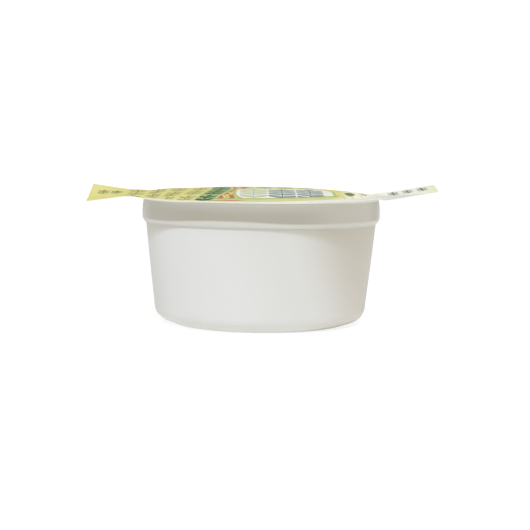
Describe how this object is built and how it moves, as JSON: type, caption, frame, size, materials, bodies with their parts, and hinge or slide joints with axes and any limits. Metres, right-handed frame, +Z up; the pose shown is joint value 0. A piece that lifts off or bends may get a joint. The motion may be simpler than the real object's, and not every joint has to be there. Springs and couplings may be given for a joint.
{
  "type": "sealed portion control cup",
  "caption": "Round white plastic portion cup, shallow and tapered, with a rim collar and rounded foot, sealed by a printed peel film with pull tabs.",
  "frame": {"origin": "centre of the cup's flat base, on the surface it stands on", "axes": "+Z up along the cup's axis, +X through the right-hand pull tab, +Y away from the viewer"},
  "size_m": [0.0977, 0.0666, 0.0388],
  "materials": {
    "white_plastic": "satin off-white moulded plastic, a little see-through at the empty headspace",
    "printed_film": null
  },
  "bodies": {
    "root": {"cup": "white_plastic", "lid": "printed_film"}
  },
  "joints": []
}
